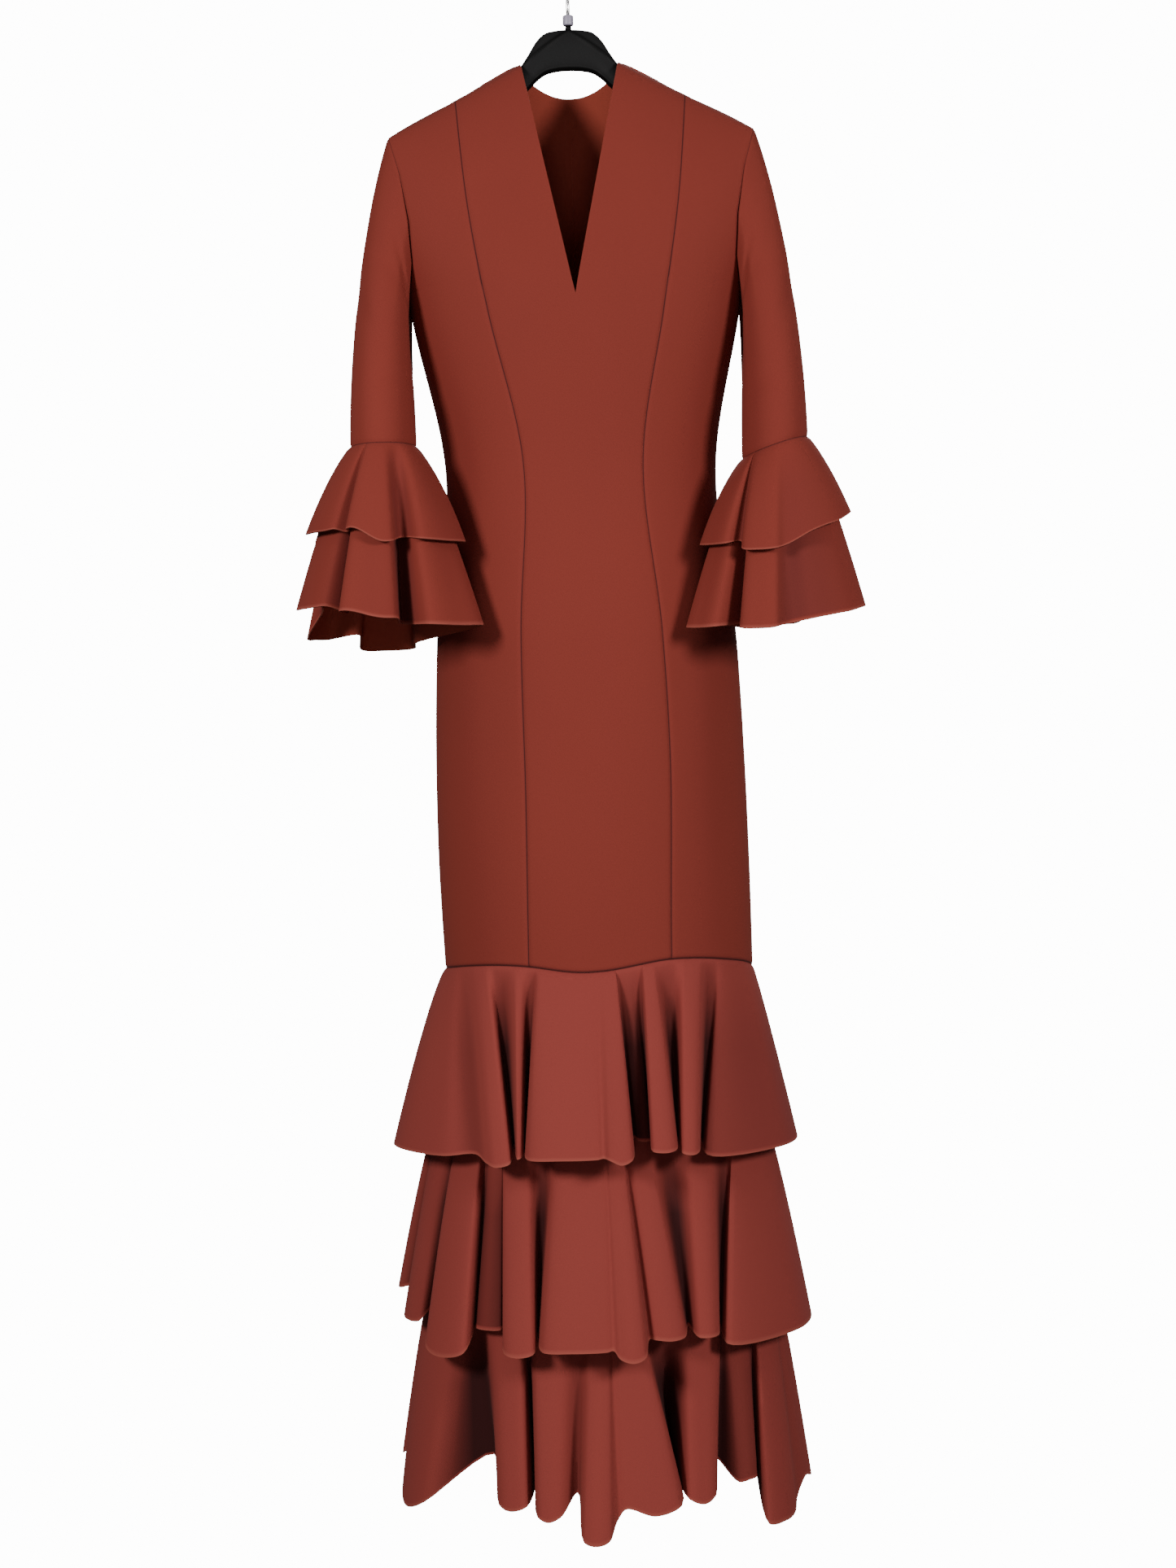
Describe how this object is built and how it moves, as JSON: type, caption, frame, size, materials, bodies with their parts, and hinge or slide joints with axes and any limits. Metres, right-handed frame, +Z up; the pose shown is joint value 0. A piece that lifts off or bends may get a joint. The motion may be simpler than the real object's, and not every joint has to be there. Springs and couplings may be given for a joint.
{
  "type": "flamenco dress on a hanger",
  "caption": "Long fitted flamenco dress with elbow sleeves, flounced cuffs and a flounced skirt, hung on a moulded hanger with a wire hook.",
  "frame": {"origin": "inside of the crown of the hanger's hook, where it rests on a rail", "axes": "+Z up along the hanging dress, -Y to the front of the dress, +X to the right seen from the front"},
  "size_m": [0.5595, 0.4426, 1.5836],
  "materials": {
    "crepe": "matte stretch crepe, raw cut edges",
    "hanger_plastic": "fine moulded grain",
    "hook_wire": "bright plated wire",
    "bead_plastic": "plain moulded"
  },
  "bodies": {
    "root": {"front_centre": "crepe", "front_side_left": "crepe", "front_side_right": "crepe", "back_left": "crepe", "back_right": "crepe", "back_side_left": "crepe", "back_side_right": "crepe", "sleeve_left": "crepe", "sleeve_right": "crepe", "cuff_upper_left": "crepe", "cuff_upper_right": "crepe", "cuff_lower_left": "crepe", "cuff_lower_right": "crepe", "base_skirt": "crepe", "flounce_1": "crepe", "flounce_2": "crepe", "flounce_3": "crepe", "hanger": "hanger_plastic", "hanger_hook": "hook_wire", "hook_bead": "bead_plastic"}
  },
  "joints": []
}
